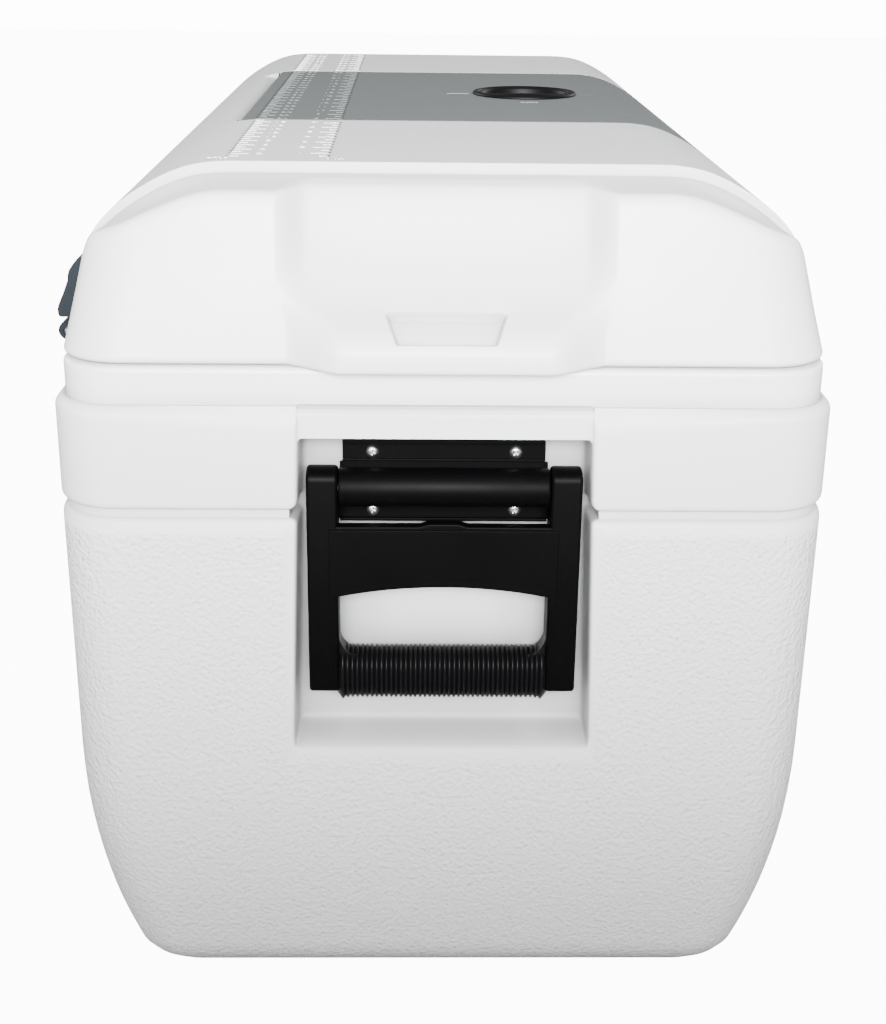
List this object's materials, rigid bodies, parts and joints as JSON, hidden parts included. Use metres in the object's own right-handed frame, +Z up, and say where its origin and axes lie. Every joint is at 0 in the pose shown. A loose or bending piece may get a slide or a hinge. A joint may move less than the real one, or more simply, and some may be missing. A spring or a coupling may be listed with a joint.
{
  "type": "cooler chest",
  "caption": "Large insulated cooler chest with a hinged domed lid, a latched quick-access hatch in the lid, drop-down bail handles on both ends and a capped drain.",
  "frame": {"origin": "centre of the flat bottom face", "axes": "+X along the length towards the drain end, -Y towards the front, +Z up"},
  "size_m": [0.972, 0.475, 0.5422],
  "materials": {
    "shell_white": "moulded polyethylene, pebbled below the band and smooth above",
    "liner_white": "smooth moulded plastic",
    "foam": "rigid urethane foam",
    "hatch_grey": "fine-textured grey plastic",
    "handle_black": "satin black moulded plastic",
    "grip_black": "ribbed soft grip",
    "latch_black": "satin black moulded plastic",
    "hinge_slate": "satin slate-grey plastic",
    "steel": "stainless steel",
    "seal_rubber": "soft black rubber"
  },
  "bodies": {
    "chest": {"outer_shell": "shell_white", "foam_core": "foam", "inner_liner": "liner_white", "handle_bracket_left": "handle_black", "handle_bracket_right": "handle_black", "handle_screws": "steel", "hinge_base_left": "hinge_slate", "hinge_base_centre": "hinge_slate", "hinge_base_right": "hinge_slate", "hinge_base_screws": "steel", "hinge_pin_left": "steel", "hinge_pin_centre": "steel", "hinge_pin_right": "steel", "drain_spout": "liner_white", "drain_gasket": "seal_rubber", "drain_nut": "liner_white"},
    "drain_cap": {"drain_cap": "liner_white"},
    "lid": {"lid_shell": "shell_white", "lid_foam": "foam", "lid_liner": "liner_white", "hinge_leaf_left": "hinge_slate", "hinge_leaf_centre": "hinge_slate", "hinge_leaf_right": "hinge_slate", "hinge_leaf_screws": "steel", "hatch_hinge_pins": "steel", "hatch_keeper": "latch_black"},
    "hatch": {"hatch_cover": "hatch_grey", "hatch_foam": "foam", "hatch_liner": "liner_white", "latch_bezel": "latch_black"},
    "hatch_latch": {"latch_knob": "latch_black", "latch_spindle": "steel", "latch_cam": "latch_black", "latch_screw": "steel"},
    "handle_left": {"handle_bail_left": "handle_black", "handle_grip_left": "grip_black", "handle_pin_left": "steel"},
    "handle_right": {"handle_bail_right": "handle_black", "handle_grip_right": "grip_black", "handle_pin_right": "steel"}
  },
  "joints": [
    {"name": "lid_hinge", "type": "hinge", "parent": "chest", "child": "lid", "pos_m": [0, 0.239, 0.426], "axis": [-1, 0, 0], "range_deg": [0, 105]},
    {"name": "hatch_hinge", "type": "hinge", "parent": "lid", "child": "hatch", "pos_m": [0, 0.134, 0.533], "axis": [-1, 0, 0], "range_deg": [0, 100]},
    {"name": "hatch_latch_turn", "type": "hinge", "parent": "hatch", "child": "hatch_latch", "pos_m": [0, -0.072, 0.54], "axis": [0, 0, -1], "range_deg": [0, 90]},
    {"name": "handle_left_swing", "type": "hinge", "parent": "chest", "child": "handle_left", "pos_m": [-0.46, 0, 0.3595], "axis": [0, 1, 0], "range_deg": [0, 90]},
    {"name": "handle_right_swing", "type": "hinge", "parent": "chest", "child": "handle_right", "pos_m": [0.46, 0, 0.3595], "axis": [0, -1, 0], "range_deg": [0, 90]},
    {"name": "drain_cap_pull", "type": "slide", "parent": "chest", "child": "drain_cap", "axis": [1, 0, 0], "range_m": [0, 0.03]}
  ]
}
